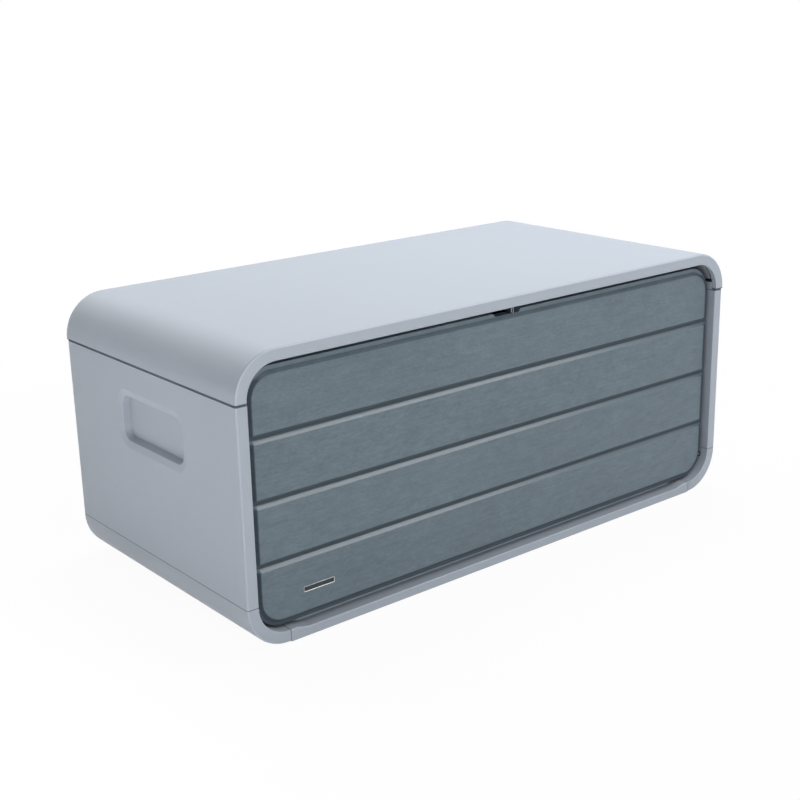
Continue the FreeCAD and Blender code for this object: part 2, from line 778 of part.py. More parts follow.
def door_lock_tab():
    """Steel tab that stands up in the notch beside the lid's tab, with a hole in line with it."""
    x0 = door_tab_x - lock_tab_thickness / 2
    blade = box(x0, x0 + lock_tab_thickness, lock_hole_y - door_tab_front, door_back + lock_tab_thickness,
                notch_floor, notch_floor + door_tab_reach)
    foot = box(x0, x0 + door_tab_foot_width, door_back, door_back + lock_tab_thickness,
               notch_floor - door_tab_foot_height, notch_floor + lock_tab_thickness)
    tab = blade.fuse(foot)
    tab = tab.cut(lock_hole(x0))
    tab = tab.cut([screw_hole(seat, V(0, -1, 0), door_screw_length) for seat in door_tab_screw_seats()])
    return tab.removeSplitter()


def notch(grow, y0, y1):
    """Notch in the middle of the door's top edge, made larger all round by grow."""
    half = notch_half_width + grow
    radius = notch_corner_radius + grow
    return rounded_prism(-half, half, notch_floor - grow, door_top + 3 * radius, radius, radius, y0, y1)


def plank(z0, z1, radius_low, radius_high, inset, y_base, y_face):
    """One raised plank with bevelled edges; inset gives the hollow behind it."""
    half = door_half_width - plank_margin - inset
    base = (-half, half, z0 + inset, z1 - inset, radius_low, radius_high, y_base)
    side = plank_side_bevel
    face = (-half + side, half - side, z0 + inset + plank_bottom_bevel, z1 - inset - plank_top_bevel,
            max(radius_low - side, 0.5), max(radius_high - side, 0.5), y_face)
    return rounded_frustum(base, face)


def planks(inset, y_base, y_face):
    """All the planks of the door, or with an inset the hollows behind them."""
    half_groove = groove_width / 2
    lows = [planks_low] + [g + half_groove for g in groove_heights]
    highs = [g - half_groove for g in groove_heights] + [planks_high]
    square = plank_side_bevel + 1
    pieces = []
    for index, (z0, z1) in enumerate(zip(lows, highs)):
        radius_low = door_bottom_radius - plank_margin - inset if index == 0 else square
        radius_high = door_top_radius - plank_margin - inset if index == len(lows) - 1 else square
        pieces.append(plank(z0, z1, radius_low, radius_high, inset, y_base, y_face))
    return pieces


def door_screw_seats():
    """Screws that close the door's two skins, driven from the inside."""
    columns = spread(-door_half_width, door_half_width, door_screw_columns, door_screw_side_margin)
    rows = spread(door_bottom, door_top, door_screw_rows, door_screw_end_margin)
    return [V(x, door_back, z) for x in columns for z in rows]


def pivot_rod(extra=0.0):
    """The right-hand pivot pin."""
    return rod(V(pivot_pin_end - pivot_pin_length, pivot_y, pivot_height), V(1, 0, 0), pivot_pin_length,
               pivot_pin_radius + extra)


def door_outer_panel():
    """Front skin of the door: a shallow tray with four raised planks."""
    flange = rounded_prism(-door_half_width, door_half_width, door_bottom, door_top, door_bottom_radius,
                           door_top_radius, door_face, door_panel_joint)
    panel = flange.fuse(planks(0, door_face, plank_face))
    room = rounded_prism(-door_half_width + skin, door_half_width - skin, door_bottom + skin,
                         door_top - skin, door_bottom_radius - skin, door_top_radius - skin,
                         door_face + skin, door_panel_joint + 1)
    room = room.fuse(planks(skin, door_face + skin, plank_face + skin))
    room = room.cut(notch(skin, plank_face, door_back))
    boss = box(pivot_pin_end - pivot_pin_length - skin, pivot_pin_end, door_face, door_panel_joint,
               pivot_height - pivot_boss, pivot_height + pivot_boss)
    room = room.cut([boss, mirrored(boss)])
    boss_length = door_back - plank_face - skin / 2
    room = room.cut([rod(seat, V(0, -1, 0), boss_length, screw_boss_radius) for seat in door_screw_seats()])
    panel = panel.cut(room).cut(notch(0, plank_face - 1, door_back + 1))
    pin = pivot_rod(running_clearance)
    holes = [pin, mirrored(pin)]
    holes += [screw_hole(seat, V(0, -1, 0), door_screw_length) for seat in door_screw_seats()]
    holes += [screw_hole(seat, V(0, -1, 0), door_screw_length) for seat in door_tab_screw_seats()]
    return panel.cut(holes)


def door_inner_panel():
    """Back skin of the door."""
    panel = rounded_prism(-door_half_width, door_half_width, door_bottom, door_top, door_bottom_radius,
                          door_top_radius, door_panel_joint, door_back)
    panel = panel.cut(notch(0, door_face, door_back + 1))
    holes = [screw_hole(seat, V(0, -1, 0), door_screw_length) for seat in door_screw_seats()]
    holes += [screw_hole(seat, V(0, -1, 0), door_screw_length) for seat in door_tab_screw_seats()]
    return panel.cut(holes)


def badge_plate():
    """Small blank plate on the lowest plank."""
    x = -door_half_width + badge_side_margin
    z = door_bottom + badge_bottom_margin
    half_width = badge_width / 2
    half_height = badge_height / 2
    return rounded_prism(x - half_width, x + half_width, z - half_height, z + half_height,
                         badge_corner_radius, badge_corner_radius, plank_face - badge_thickness, plank_face)


def lid_rest_pad():
    """Right-hand rubber pad that the lid's front rim rests on."""
    x1 = body_half_width - pad_inset_x
    y0 = -body_half_depth + pad_inset_y
    return box(x1 - pad_width, x1, y0, y0 + pad_length, panel_top, lid_bottom)


def screws(seats, direction, length):
    """A screw on each seat."""
    return [screw(seat, direction, length) for seat in seats]


def screw_pairs(seats, direction, length):
    """A screw on each seat of the right-hand side, and its mirror image on the left."""
    right = screws(seats, direction, length)
    return right + [mirrored(shape) for shape in right]


def both_sides(shape):
    """A piece and its mirror image as two separate solids."""
    return [shape, mirrored(shape)]


def write(node, solids):
    """Store one node as a STEP file."""
    shape = solids[0] if len(solids) == 1 else Part.makeCompound(solids)
    if not shape.isValid():
        raise ValueError("broken shape: " + node)
    shape.exportStep("parts/" + node + ".step")
    print("%-28s solids %2d  volume %8.1f cm3" % (node, len(shape.Solids), shape.Volume / 1000))


def build():
    """Make every piece of the storage box."""
    write("base_pan", [base_pan()])
    write("front_rail", [front_rail()])
    handed = {
        "side_panel": side_panel(),
        "top_strip": top_strip(),
        "front_post": front_post(),
        "rear_post": rear_post(),
        "door_pivot_bush": pivot_bush(),
        "door_pivot_pin": pivot_rod(),
    }
    for name, shape in handed.items():
        write("right_" + name, [shape])
        write("left_" + name, [mirrored(shape)])
    write("back_panel", [back_panel()])
    write("lid_rest_pads", both_sides(lid_rest_pad()))

    write("lid_outer_shell", [lid_outer_shell()])
    write("lid_inner_liner", [lid_inner_liner()])
    write("lid_front_stiffener", [front_stiffener()])
    write("lid_rear_stiffener", [rear_stiffener()])
    write("lid_lock_tab", [lid_lock_tab()])

    write("door_outer_panel", [door_outer_panel()])
    write("door_inner_panel", [door_inner_panel()])
    write("door_lock_tab", [door_lock_tab()])
    write("door_badge_plate", [badge_plate()])

    fixed_seats = []
    moving_seats = []
    for side, x in hinge_places.items():
        write(side + "_hinge_fixed_leaf", [fixed_leaf(x)])
        write(side + "_hinge_moving_leaf", [moving_leaf(x)])
        write(side + "_hinge_pin", [hinge_pin(x)])
        fixed_seats += hinge_screw_seats_fixed(x)
        moving_seats += hinge_screw_seats_moving(x)
    write("hinge_fixed_leaf_screws", screws(fixed_seats, V(0, -1, 0), leaf_screw_length))
    write("hinge_moving_leaf_screws", screws(moving_seats, V(0, 0, 1), leaf_screw_length))

    across = V(1, 0, 0)
    inwards = V(0, -1, 0)
    up = V(0, 0, 1)
    write("side_panel_screws", screw_pairs(side_screw_seats(), across, side_screw_length))
    write("post_screws", screw_pairs(post_screw_seats(), across, post_screw_grip + post_screw_bite))
    write("back_panel_screws", screw_pairs(back_screw_seats(), inwards, back_screw_length))
    write("front_rail_screws", screws(rail_screw_seats(), up, rail_screw_length))
    write("lid_liner_screws", screws(liner_screw_seats(), up, liner_screw_length))
    write("lid_lock_tab_screws", screws(lid_tab_screw_seats(), up, leaf_screw_length))
    write("door_panel_screws", screws(door_screw_seats(), inwards, door_screw_length))
    write("door_lock_tab_screws", screws(door_tab_screw_seats(), inwards, door_screw_length))


build()
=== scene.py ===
# %% [markdown]
# # Outdoor storage box
#
# The object is a wide plastic chest for a deck or a patio. A pale lid folds over its two ends, a
# dark planked door fills its front, and the base turns up in two rounded corners. The packed
# model gives every solid piece its place, so this lesson loads it first and keeps its box.

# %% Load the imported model
import json
import math

import bmesh
import bpy
from mathutils import Matrix, Vector


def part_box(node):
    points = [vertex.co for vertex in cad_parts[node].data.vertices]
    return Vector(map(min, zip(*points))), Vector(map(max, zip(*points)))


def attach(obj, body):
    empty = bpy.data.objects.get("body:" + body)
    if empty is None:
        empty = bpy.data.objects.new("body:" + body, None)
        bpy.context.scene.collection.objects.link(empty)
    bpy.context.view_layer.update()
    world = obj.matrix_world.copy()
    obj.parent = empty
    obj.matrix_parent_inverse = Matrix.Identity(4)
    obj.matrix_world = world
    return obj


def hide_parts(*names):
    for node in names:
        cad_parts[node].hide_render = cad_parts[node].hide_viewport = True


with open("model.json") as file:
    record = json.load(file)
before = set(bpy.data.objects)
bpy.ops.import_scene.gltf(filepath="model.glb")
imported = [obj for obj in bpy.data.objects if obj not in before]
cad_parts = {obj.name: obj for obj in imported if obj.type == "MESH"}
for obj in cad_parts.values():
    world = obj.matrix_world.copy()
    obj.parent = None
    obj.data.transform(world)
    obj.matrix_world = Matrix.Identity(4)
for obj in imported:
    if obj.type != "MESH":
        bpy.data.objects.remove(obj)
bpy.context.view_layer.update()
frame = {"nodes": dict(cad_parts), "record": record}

nodes = frame["nodes"]
bodies = frame["record"]["behaviour"]["bodies"]
body_of = {name: body for body, names in bodies.items() for name in names}

# %% [markdown]
# ## The camera
#
# The photograph looks down a little from the left of the front. The lens and the place were found by
# laying the box's known edges over the picture, so here they are plain values: how far round and how
# high the camera stands, how far away, what it looks at, and how much the frame is tilted.

# %% Place the camera
lens_mm = 60.91
turn_deg = -38.95
rise_deg = 17.29
tilt_deg = -1.28
distance = 3.431
look_at = Vector((-0.0466, 0.0, 0.3274))

turn, rise, tilt = (math.radians(v) for v in (turn_deg, rise_deg, tilt_deg))
towards_camera = Vector((math.sin(turn) * math.cos(rise), -math.cos(turn) * math.cos(rise),
                         math.sin(rise)))
level_right = Vector((math.cos(turn), math.sin(turn), 0))
level_up = towards_camera.cross(level_right)
right = math.cos(tilt) * level_right + math.sin(tilt) * level_up
up = math.cos(tilt) * level_up - math.sin(tilt) * level_right


def deselect():
    """Leave nothing selected, so that the next operator acts only on what it's given."""
    bpy.ops.object.select_all(action="DESELECT")


deselect()
bpy.ops.object.camera_add()
camera = bpy.context.object
camera.name = "photo_camera"
camera.data.lens = lens_mm
camera.data.clip_end = 50
camera.matrix_world = Matrix((
    (right.x, up.x, towards_camera.x, look_at.x + distance * towards_camera.x),
    (right.y, up.y, towards_camera.y, look_at.y + distance * towards_camera.y),
    (right.z, up.z, towards_camera.z, look_at.z + distance * towards_camera.z),
    (0, 0, 0, 1)))
bpy.context.scene.camera = camera
bpy.context.scene.view_settings.view_transform = "Standard"
print("camera at", [round(v, 2) for v in camera.matrix_world.translation])

# %% [markdown]
# ## Small helpers for shader nodes
#
# A finish is a small graph of shader nodes. These helpers keep each finish short. One adds a node by
# name and one feeds a socket. Three more make a sum, a colour blend or a change of range, and the last
# makes a colour darker or paler.

# %% Nodes made by name
def node(tree, kind, **values):
    """Add a shader node and set its inputs or properties by name."""
    made = tree.nodes.new("ShaderNode" + kind)
    made.location = (220 * (len(tree.nodes) % 8), -260 * (len(tree.nodes) // 8))
    for key, value in values.items():
        if key in made.inputs:
            feed(tree, made.inputs[key], value)
        else:
            setattr(made, key, value)
    return made


def feed(tree, socket, value):
    """Give a socket a plain value, or link another node's output to it."""
    if isinstance(value, bpy.types.NodeSocket):
        tree.links.new(value, socket)
    else:
        socket.default_value = value


def number(tree, operation, first, second=0.0):
    """A sum of two numbers or outputs."""
    made = node(tree, "Math", operation=operation)
    feed(tree, made.inputs[0], first)
    feed(tree, made.inputs[1], second)
    return made.outputs[0]


def blend(tree, kind, share, first, second):
    """Two colours blended by a share."""
    made = node(tree, "Mix", data_type="RGBA", blend_type=kind)
    feed(tree, made.inputs["Factor"], share)
    feed(tree, made.inputs["A"], first)
    feed(tree, made.inputs["B"], second)
    return made.outputs["Result"]


def spread_to(tree, source, old_low, old_high, new_low, new_high):
    """A number moved from one range to another and kept inside it."""
    made = node(tree, "MapRange", **{"Value": source, "From Min": old_low, "From Max": old_high,
                                     "To Min": new_low, "To Max": new_high})
    return made.outputs["Result"]


def shaded(colour, factor):
    """A colour made darker or paler, with its alpha."""
    return tuple(min(1.0, c * factor) for c in colour) + (1.0,)


# %% [markdown]
# ## The studio
#
# The photograph is a studio shot on white. A large floor and an even world do the same. What the
# camera and the reflections see of them is white, but the light that they give the box is that of a
# pale room. Near the box the floor keeps some of its own shading, so that a soft shadow shows, and
# further out it is plain white, so that no horizon shows.

# %% The floor and the world
room_light = 0.06
floor_bounce = 0.86
floor_near_white = 0.955
shadow_reach = 1.3
white_from = 2.2
floor_seen_grey = 0.78
floor_size = 60
floor_drop = 0.0005


def seen_directly(tree):
    """1 for rays from the camera, a reflection or a transmission, else 0."""
    path = node(tree, "LightPath")
    first = number(tree, "MAXIMUM", path.outputs["Is Camera Ray"], path.outputs["Is Glossy Ray"])
    return number(tree, "MAXIMUM", first, path.outputs["Is Transmission Ray"])


def mixed_shader(tree, share, first, second):
    """Two shaders blended by a share."""
    made = node(tree, "MixShader")
    feed(tree, made.inputs[0], share)
    feed(tree, made.inputs[1], first)
    feed(tree, made.inputs[2], second)
    return made.outputs[0]


world = bpy.data.worlds.new("pale_room")
world.use_nodes = True
bpy.context.scene.world = world
tree = world.node_tree
tree.nodes.clear()
room = node(tree, "Background", Color=(0.97, 0.98, 1.0, 1), Strength=room_light)
white = node(tree, "Background", Color=(1, 1, 1, 1), Strength=1.0)
seen = mixed_shader(tree, seen_directly(tree), room.outputs[0], white.outputs[0])
node(tree, "OutputWorld", Surface=seen)

deselect()
bpy.ops.mesh.primitive_plane_add(size=floor_size, location=(0, 0, -floor_drop))
floor = bpy.context.object
floor.name = "floor"
paper = bpy.data.materials.new("floor_paper")
paper.use_nodes = True
tree = paper.node_tree
tree.nodes.clear()
place = node(tree, "TexCoord")
far = node(tree, "VectorMath", operation="LENGTH")
tree.links.new(place.outputs["Object"], far.inputs[0])
whiteness = spread_to(tree, far.outputs["Value"], shadow_reach, white_from, floor_near_white, 1.0)
matt = node(tree, "BsdfDiffuse", Color=(floor_bounce,) * 3 + (1,))
paler = node(tree, "BsdfDiffuse", Color=(floor_seen_grey,) * 3 + (1,))
glow = node(tree, "Emission", Color=(1, 1, 1, 1), Strength=1.0)
camera_side = mixed_shader(tree, whiteness, paler.outputs[0], glow.outputs[0])
both = mixed_shader(tree, seen_directly(tree), matt.outputs[0], camera_side)
node(tree, "OutputMaterial", Surface=both)
floor.data.materials.append(paper)

# %% [markdown]
# The lamps are softboxes. The first hangs before the right half, where a plank's upper bevel mirrors
# it towards the camera, which draws the pale line under each groove on the left and lets it fade to
# the right. Two more, high over the right end and behind the box, make the lid the brightest face and
# leave its left curve in shade. One lights the front, and a low one that stands far off lights the left
# end evenly. The last shines straight down on the floor beside that end, and what the floor throws back
# lights it from below.

# %% The lamps
def softbox(name, place, size, power, aim=(0, 0, 0.3), spread=180):
    """A square softbox at a place, turned towards a point, whose light spreads by an angle."""
    deselect()
    bpy.ops.object.light_add(type="AREA", location=place)
    lamp = bpy.context.object
    lamp.name = name
    lamp.data.size = size
    lamp.data.energy = power
    lamp.data.spread = math.radians(spread)
    lamp.rotation_euler = (Vector(aim) - Vector(place)).to_track_quat("-Z", "Y").to_euler()
    return lamp


softbox("bevel_softbox", (1.5, -1.4, 3.0), 1.8, 46)
softbox("high_softbox", (1.1, 1.2, 4.4), 2.6, 137)
softbox("back_softbox", (-0.8, 3.9, 3.6), 4.0, 82)
softbox("front_softbox", (-1.1, -4.6, 1.6), 2.3, 79)
softbox("left_softbox", (-6.0, -1.0, 0.5), 2.0, 36, aim=(-0.76, 0, 0.15))
softbox("floor_softbox", (-2.1, -0.3, 1.3), 1.2, 21, aim=(-2.1, -0.3, 0), spread=80)

# %% [markdown]
# ## The plastics
#
# Every big piece is moulded plastic. A moulding isn't one flat colour: its tool is textured, so the
# surface has a fine stipple or a brushed grain, its colour drifts a little, and its edges are smoother.
# One function builds such a plastic, and it paints light into the colour too: a painted highlight on
# the edges and painted shade in the seams and inner corners.
# The grain is noise stretched along the piece, on Object coordinates, which are the box's own metres.

# %% Grain, edges and shade
def stretched_noise(tree, place, stretch, size, detail=4.0):
    """Noise whose grains are about a size in metres, made longer along an axis by a small stretch."""
    mapped = node(tree, "Mapping", Vector=place, Scale=stretch)
    noise = node(tree, "TexNoise", Vector=mapped.outputs["Vector"], Scale=1.0 / size, Detail=detail,
                 Roughness=0.6)
    return noise.outputs["Fac"]


def edge_share(tree, radius, strength):
    """How strongly a point lies on an edge, where a painted highlight pales the colour, and the softened
    normal there.
    """
    soft = node(tree, "Bevel", samples=6, Radius=radius)
    surface = node(tree, "NewGeometry")
    turned = node(tree, "VectorMath", operation="DOT_PRODUCT")
    tree.links.new(soft.outputs["Normal"], turned.inputs[0])
    tree.links.new(surface.outputs["Normal"], turned.inputs[1])
    painted_edge_highlight = spread_to(tree, turned.outputs["Value"], 0.985, 0.80, 0.0, strength)
    return painted_edge_highlight, soft.outputs["Normal"]


def crevice_shade_share(tree, reach, strength):
    """How strongly painted shade darkens a point in a seam or an inner corner, but not where the box
    meets the floor.
    """
    open_sky = node(tree, "AmbientOcclusion", samples=6, Distance=reach)
    shut = spread_to(tree, open_sky.outputs["AO"], 0.70, 0.15, 0.0, strength)
    parts = node(tree, "SeparateXYZ", Vector=node(tree, "TexCoord").outputs["Object"])
    above_floor = spread_to(tree, parts.outputs["Z"], 0.004, 0.016, 0.0, 1.0)
    return number(tree, "MULTIPLY", shut, above_floor)


def line_share(tree, height, level, half_width, strength):
    """How strongly a height lies on a thin level line, such as a painted shade line at the seam of two
    parts or a painted highlight line along a rim.
    """
    away = number(tree, "ABSOLUTE", number(tree, "SUBTRACT", height, level))
    return spread_to(tree, away, half_width * 0.55, half_width, strength, 0.0)


# %% A moulded plastic
cloud_size = 0.35
edge_highlight_radius = 0.0014
rim_highlight_half_width = 0.0010
crevice_reach = 0.014
painted_shade_tint = (0.07, 0.10, 0.13)
figure_height = 0.15
blotch_size = 0.016


def moulded_plastic(name, colour, roughness, grain_size, grain_depth, stretch=(1, 1, 1), drift=0.03,
                    edge=0.25, crevice=0.9, seams=(), rim_highlight_depth=None, planked=False):
    """Plastic with a fine tool grain and colour drift, smoother edges with a painted highlight, and
    painted shade in its seams and inner corners.
    """
    made = bpy.data.materials.new(name)
    made.use_nodes = True
    tree = made.node_tree
    tree.nodes.clear()
    place = node(tree, "TexCoord").outputs["Object"]
    parts = node(tree, "SeparateXYZ", Vector=place)
    level = parts.outputs["Z"]
    if planked:
        place = shifted_by_plank(tree, place, level)

    grain = stretched_noise(tree, place, stretch, grain_size)
    cloud = stretched_noise(tree, place, (1, 1, 1), cloud_size, 3.0)
    speck = spread_to(tree, grain, 0.3, 0.7, -1.0, 1.0)
    wander = spread_to(tree, cloud, 0.3, 0.7, -0.5, 0.5)
    height = grain
    shade = number(tree, "MULTIPLY", number(tree, "ADD", speck, wander), drift)
    if planked:
        figure = wood_figure(tree, place)
        height = number(tree, "ADD", grain, number(tree, "MULTIPLY", figure, figure_height))
        lines = number(tree, "MULTIPLY", number(tree, "SUBTRACT", figure, 0.5), 0.5 * drift)
        mottling = stretched_noise(tree, place, (0.4, 1, 1), blotch_size, 5.0)
        blotch = spread_to(tree, mottling, 0.3, 0.7, -drift, drift)
        shade = number(tree, "ADD", shade, number(tree, "ADD", lines, blotch))
        outside = spread_to(tree, parts.outputs["Y"], planks_behind, planks_behind + 0.001, 1.0, 0.0)
        polished = number(tree, "MULTIPLY", bevel_share(tree, level), outside)
        shade = number(tree, "MULTIPLY", shade, number(tree, "SUBTRACT", 1.0, polished))
    tint = blend(tree, "MIX", number(tree, "ADD", shade, 0.5), shaded(colour, 0.5),
                 shaded(colour, 1.5))
    painted_edge_highlight, soft_normal = edge_share(tree, edge_highlight_radius, edge)
    # A pale thin line at one depth along the front rim is a painted highlight.
    if rim_highlight_depth:
        rim = line_share(tree, parts.outputs["Y"], rim_highlight_depth, rim_highlight_half_width, edge)
        painted_edge_highlight = number(tree, "MAXIMUM", painted_edge_highlight, rim)
    # A paler colour on the edges and along the front rim is a painted highlight.
    tint = blend(tree, "MIX", painted_edge_highlight, tint, shaded([c + 0.04 for c in colour], 1.5))
    # The seams and inner corners get painted shade.
    dark = crevice_shade_share(tree, crevice_reach, crevice)
    # Thin dark lines at the seams of two parts are painted shade.
    for seam_level, half_width, strength in seams:
        seam = line_share(tree, level, seam_level, half_width, strength)
        dark = number(tree, "MAXIMUM", dark, seam)
    if planked:
        # The grooves between the planks get painted shade.
        groove = number(tree, "MULTIPLY", groove_shade_share(tree, level), outside)
        dark = number(tree, "MAXIMUM", dark, groove)
        # The flange and the lower and side bevels get painted shade.
        dark = number(tree, "MAXIMUM", dark, set_back_shade_share(tree, parts, outside, polished))
    # Everything marked dark above is blended towards this darker copy of the colour, a painted shade.
    painted_shade_colour = tuple(share * c for share, c in zip(painted_shade_tint, colour)) + (1.0,)
    tint = blend(tree, "MIX", dark, tint, painted_shade_colour)

    gloss = spread_to(tree, grain, 0.25, 0.75, roughness - 0.05, roughness + 0.08)
    gloss = number(tree, "ADD", gloss, number(tree, "MULTIPLY", dark, 0.4))
    gloss = number(tree, "SUBTRACT", gloss, number(tree, "MULTIPLY", painted_edge_highlight, 0.35))
    if planked:
        gloss = number(tree, "SUBTRACT", gloss, number(tree, "MULTIPLY", polished, 0.20))
    dents = node(tree, "Bump", Strength=0.6, Distance=grain_depth, Height=height, Normal=soft_normal)
    skin = node(tree, "BsdfPrincipled", **{"Base Color": tint, "Roughness": gloss, "IOR": 1.46,
                                           "Normal": dents.outputs["Normal"]})
    node(tree, "OutputMaterial", Surface=skin.outputs["BSDF"])
    return made


# %% [markdown]
# The planks carry a moulded wood grain. Each plank is a board of its own, so the grain mustn't run on
# from one to the next: a plank's number, counted from its height, moves the pattern to fresh noise.
# The long wandering lines of a sawn board come from bands that noise bends, and a soft mottling lies
# over them. The flange round the planks and their lower and side bevels are set back, and painted shade
# darkens them.

# %% Wood grain for the planks
groove_level = 0.0387
plank_pitch = 0.14115
groove_half = 0.0023
bevel_height = 0.008
planks_behind = -0.338
planks_front = -0.3495
flange_dark = 0.60
top_bevel_level = 0.585


def planks_up(tree, level):
    """A height counted in planks from the lowest one's foot."""
    return number(tree, "DIVIDE", number(tree, "SUBTRACT", level, groove_level), plank_pitch)


def shifted_by_plank(tree, place, level):
    """Object coordinates moved by a different amount on each plank."""
    count = number(tree, "FLOOR", planks_up(tree, level))
    shift = node(tree, "CombineXYZ", X=number(tree, "MULTIPLY", count, 1.37),
                 Y=number(tree, "MULTIPLY", count, 0.61), Z=number(tree, "MULTIPLY", count, 0.0383))
    moved = node(tree, "VectorMath", operation="ADD")
    tree.links.new(place, moved.inputs[0])
    tree.links.new(shift.outputs[0], moved.inputs[1])
    return moved.outputs["Vector"]


def between_planks(tree, level):
    """1 near the three grooves, and 0 near the door's top and bottom edges, which have none."""
    from_middle = number(tree, "ABSOLUTE", number(tree, "SUBTRACT", planks_up(tree, level), 2.0))
    return spread_to(tree, from_middle, 1.4, 1.5, 1.0, 0.0)


def groove_shade_share(tree, level):
    """How strongly painted shade darkens a height at the bottom of a groove between two planks."""
    part = number(tree, "FRACT", planks_up(tree, level))
    near = number(tree, "MINIMUM", part, number(tree, "SUBTRACT", 1.0, part))
    away = number(tree, "MULTIPLY", near, plank_pitch)
    painted_groove_shade = spread_to(tree, away, groove_half, groove_half + 0.0012, 0.75, 0.0)
    return number(tree, "MULTIPLY", painted_groove_shade, between_planks(tree, level))


def bevel_share(tree, level):
    """1 on the bevel along a plank's upper edge, which the mould leaves smooth."""
    part = number(tree, "FRACT", planks_up(tree, level))
    below = number(tree, "MULTIPLY", number(tree, "SUBTRACT", 1.0, part), plank_pitch)
    bevel_low = groove_half + bevel_height
    smooth = spread_to(tree, below, bevel_low, bevel_low - 0.0006, 0.0, 1.0)
    return number(tree, "MULTIPLY", smooth, between_planks(tree, level))


def set_back_shade_share(tree, parts, outside, polished):
    """How strongly painted shade darkens the flange round the planks and their lower and side bevels."""
    behind = spread_to(tree, parts.outputs["Y"], planks_front, planks_front + 0.002, 0.0, flange_dark)
    under_top = spread_to(tree, parts.outputs["Z"], top_bevel_level, top_bevel_level + 0.007, 1.0, 0.0)
    there = number(tree, "MULTIPLY", number(tree, "MULTIPLY", behind, under_top), outside)
    return number(tree, "MULTIPLY", there, number(tree, "SUBTRACT", 1.0, polished))


def wood_figure(tree, place):
    """Long wandering growth lines, as a board sawn along the trunk shows."""
    mapped = node(tree, "Mapping", Vector=place, Scale=(0.07, 1, 1))
    bands = node(tree, "TexWave", wave_type="BANDS", bands_direction="Z", wave_profile="SAW",
                 Vector=mapped.outputs["Vector"], Scale=26.0, Distortion=9.0, Detail=3.0)
    bands.inputs["Detail Scale"].default_value = 0.9
    bands.inputs["Detail Roughness"].default_value = 0.55
    return bands.outputs["Fac"]


# %% The five plastics
pale_grey = (0.385, 0.428, 0.488)
# This darker copy of the pale grey is a painted shade for the lid's liner and the posts.
inner_shade_grey = (0.27, 0.295, 0.325)
slate = (0.128, 0.172, 0.203)
# The seam lines are painted shade along the lid's lower edge, along the side panels' top edge, and where
# the side panels meet the base.
lid_seam_shade = (0.5502, 0.0012, 0.90)
body_seam_shades = ((0.5454, 0.0011, 0.90), (0.104, 0.0012, 0.6))

lid_plastic = moulded_plastic("lid_plastic", pale_grey, 0.50, 0.004, 0.00025, stretch=(0.05, 1, 1),
                              drift=0.012, edge=0.45, seams=(lid_seam_shade,), rim_highlight_depth=-0.3671)
body_plastic = moulded_plastic("body_plastic", pale_grey, 0.48, 0.0022, 0.0002, drift=0.012, edge=0.25,
                               crevice=0.6, seams=body_seam_shades, rim_highlight_depth=-0.3651)
inner_plastic = moulded_plastic("inner_plastic", inner_shade_grey, 0.52, 0.0022, 0.0002, drift=0.02)
door_plastic = moulded_plastic("door_plastic", slate, 0.40, 0.0040, 0.0004, stretch=(0.35, 1, 1),
                               drift=0.11, edge=0.35, planked=True)
door_inside = moulded_plastic("door_inside_plastic", slate, 0.48, 0.0022, 0.0002, drift=0.04)
plastics = (lid_plastic, body_plastic, inner_plastic, door_plastic, door_inside)
print("plastics:", [plastic.name for plastic in plastics])

# %% [markdown]
# ## Steel, rubber and the small plastics
#
# The hinges and tubes are zinc-plated: bright metal with a faint spangle of crystals. The lock tabs
# and screws are brushed stainless steel, whose fine scratches run along the piece. The rest pads are
# black rubber with a dusty bloom, and the bushes are a smooth dark plastic.

# %% Metals and rubber
def plated_steel(name, colour, roughness, grain_size, stretch=(1, 1, 1), spangle=0.0):
    """Metal whose roughness and colour follow fine scratches or crystals."""
    made = bpy.data.materials.new(name)
    made.use_nodes = True
    tree = made.node_tree
    tree.nodes.clear()
    place = node(tree, "TexCoord").outputs["Object"]
    scratches = stretched_noise(tree, place, stretch, grain_size)
    crystals = node(tree, "TexVoronoi", Vector=place, Scale=180.0)
    flake = node(tree, "SeparateColor", Color=crystals.outputs["Color"])
    shade = number(tree, "ADD", number(tree, "MULTIPLY", scratches, 0.30),
                   number(tree, "MULTIPLY", flake.outputs[0], spangle))
    tint = blend(tree, "MIX", shade, shaded(colour, 1.12), shaded(colour, 0.62))
    painted_edge_highlight, soft_normal = edge_share(tree, 0.0005, 0.5)
    # Paler metal on the edges is a painted highlight.
    tint = blend(tree, "MIX", painted_edge_highlight, tint, shaded(colour, 1.4))
    # Seams and inner corners of the metal get painted shade.
    tint = blend(tree, "MIX", crevice_shade_share(tree, 0.006, 0.6), tint, shaded(colour, 0.2))
    gloss = spread_to(tree, scratches, 0.3, 0.7, roughness - 0.08, roughness + 0.10)
    dents = node(tree, "Bump", Strength=0.4, Distance=0.00006, Height=scratches, Normal=soft_normal)
    skin = node(tree, "BsdfPrincipled", **{"Base Color": tint, "Roughness": gloss, "Metallic": 1.0,
                                           "Normal": dents.outputs["Normal"]})
    node(tree, "OutputMaterial", Surface=skin.outputs["BSDF"])
    return made


